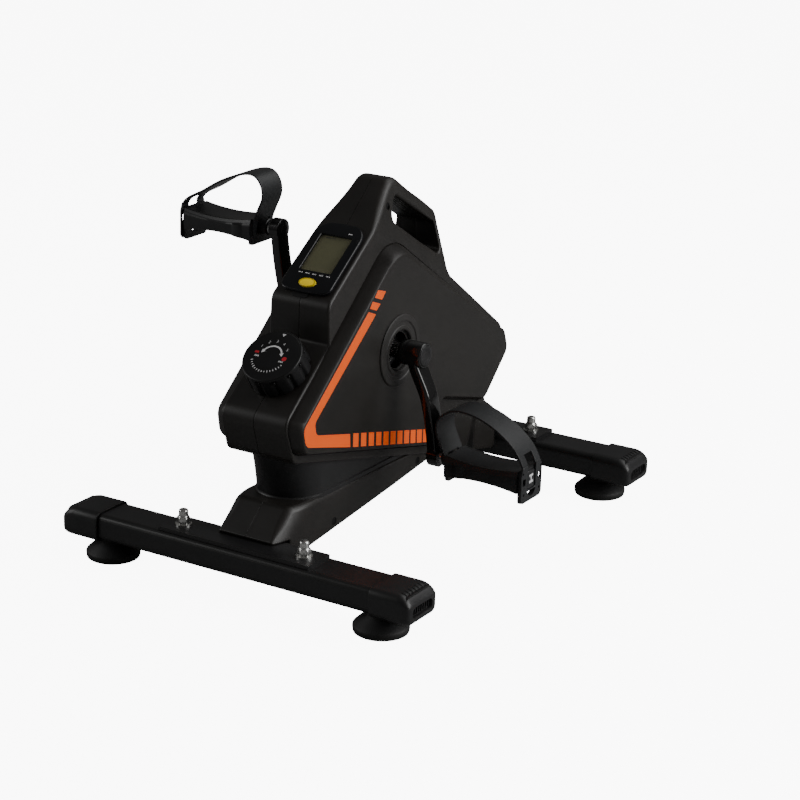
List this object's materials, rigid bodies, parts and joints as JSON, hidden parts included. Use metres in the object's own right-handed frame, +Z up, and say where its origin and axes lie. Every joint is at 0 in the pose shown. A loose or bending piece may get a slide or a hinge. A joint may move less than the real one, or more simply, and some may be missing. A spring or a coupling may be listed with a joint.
{
  "type": "pedal exerciser",
  "caption": "Compact floor-standing pedal exerciser: closed housing with display and resistance knob, carrying handle, strapped pedals and two floor bars with rubber feet.",
  "frame": {"origin": "on the floor under the centre of the machine's bounding box", "axes": "+X to the user's right, +Y forward away from the user, +Z up"},
  "size_m": [0.4382, 0.5398, 0.3999],
  "materials": {
    "powder_black": "satin",
    "frame_black": "satin",
    "shell_black": "fine matte",
    "cap_black": "satin",
    "foot_rubber": "matte",
    "zinc": "zinc plated",
    "stripe_orange": "satin decal",
    "screw_black": "black oxide",
    "console_black": "gloss",
    "lens": "clear",
    "lcd": "display",
    "board": "circuit board",
    "button_yellow": "satin",
    "sensor_black": "matte",
    "cable_black": "sheath",
    "knob_black": "satin",
    "bracket_steel": "satin",
    "magnet": "nickel plated",
    "flywheel_steel": "turned",
    "bright_steel": "ground",
    "pulley_plastic": "moulded",
    "belt_rubber": "ribbed belt",
    "idler_nylon": "nylon",
    "crank_gloss": "gloss enamel",
    "pedal_plastic": "satin",
    "strap_rubber": "satin"
  },
  "bodies": {
    "root": {"front_stabilizer": "powder_black", "rear_stabilizer": "powder_black", "front_end_caps": "cap_black", "rear_end_caps": "cap_black", "foot_front_left": "foot_rubber", "foot_front_right": "foot_rubber", "foot_rear_left": "foot_rubber", "foot_rear_right": "foot_rubber", "foot_studs": "zinc", "front_plate": "powder_black", "rear_plate": "powder_black", "plate_bolts": "zinc", "plate_washers": "zinc", "dome_nuts": "zinc", "main_frame": "frame_black", "housing_left": "shell_black", "housing_right": "shell_black", "neck_cover": "shell_black", "boot_left": "shell_black", "boot_right": "shell_black", "crank_trim_left": "shell_black", "crank_trim_right": "shell_black", "stripe_left": "stripe_orange", "stripe_right": "stripe_orange", "cover_screws": "screw_black", "console_case": "console_black", "console_lens": "lens", "lcd_screen": "lcd", "console_board": "board", "console_battery": "bright_steel", "reed_sensor": "sensor_black", "sensor_wire": "cable_black", "tension_cable": "cable_black", "bracket_pin": "bright_steel", "return_spring": "bright_steel", "flywheel_axle": "bright_steel", "drive_belt": "belt_rubber", "idler_arm": "bright_steel", "crank_bearings": "bright_steel"},
    "crankset": {"crank_axle": "bright_steel", "drive_pulley": "pulley_plastic", "sensor_magnet": "magnet", "crank_left": "crank_gloss", "crank_right": "crank_gloss", "crank_caps": "cap_black", "pedal_axles": "bright_steel"},
    "left_pedal": {"pedal_left": "pedal_plastic", "strap_left": "strap_rubber"},
    "right_pedal": {"pedal_right": "pedal_plastic", "strap_right": "strap_rubber"},
    "flywheel_set": {"flywheel": "flywheel_steel", "flywheel_bearings": "bright_steel", "flywheel_pulley": "pulley_plastic"},
    "idler": {"idler_wheel": "idler_nylon"},
    "resistance_knob": {"tension_knob": "knob_black", "knob_spindle": "bright_steel"},
    "magnet_carrier": {"magnet_bracket": "bracket_steel", "brake_magnets": "magnet"},
    "button": {"mode_button": "button_yellow"}
  },
  "joints": [
    {"name": "crank_spin", "type": "hinge", "parent": "root", "child": "crankset", "pos_m": [0, -0.027, 0.2205], "axis": [1, 0, 0], "continuous": true},
    {"name": "left_pedal_spin", "type": "hinge", "parent": "crankset", "child": "left_pedal", "pos_m": [-0.17, -0.03286, 0.33235], "axis": [1, 0, 0], "continuous": true},
    {"name": "right_pedal_spin", "type": "hinge", "parent": "crankset", "child": "right_pedal", "pos_m": [0.17, -0.02114, 0.10865], "axis": [1, 0, 0], "continuous": true},
    {"name": "flywheel_spin", "type": "hinge", "parent": "root", "child": "flywheel_set", "pos_m": [0, 0.112, 0.158], "axis": [1, 0, 0], "continuous": true},
    {"name": "idler_spin", "type": "hinge", "parent": "root", "child": "idler", "pos_m": [-0.032, 0.0398, 0.13199], "axis": [1, 0, 0], "continuous": true},
    {"name": "knob_turn", "type": "hinge", "parent": "root", "child": "resistance_knob", "pos_m": [0, -0.1754, 0.2254], "axis": [0, -0.6018, 0.7986], "range_deg": [-135, 135]},
    {"name": "magnet_tilt", "type": "hinge", "parent": "root", "child": "magnet_carrier", "pos_m": [0, 0.17966, 0.18263], "axis": [1, 0, 0], "range_deg": [-1.6, 1.6]},
    {"name": "button_press", "type": "slide", "parent": "root", "child": "button", "axis": [0, 0.5736, -0.8192], "range_m": [0, 0.001], "stiffness_N_per_m": 300}
  ],
  "couplings": [
    {"joint": "flywheel_spin", "follows": "crank_spin", "ratio": 5.2857},
    {"joint": "idler_spin", "follows": "crank_spin", "ratio": -6.9091},
    {"joint": "magnet_tilt", "follows": "knob_turn", "ratio": 0.01111}
  ]
}
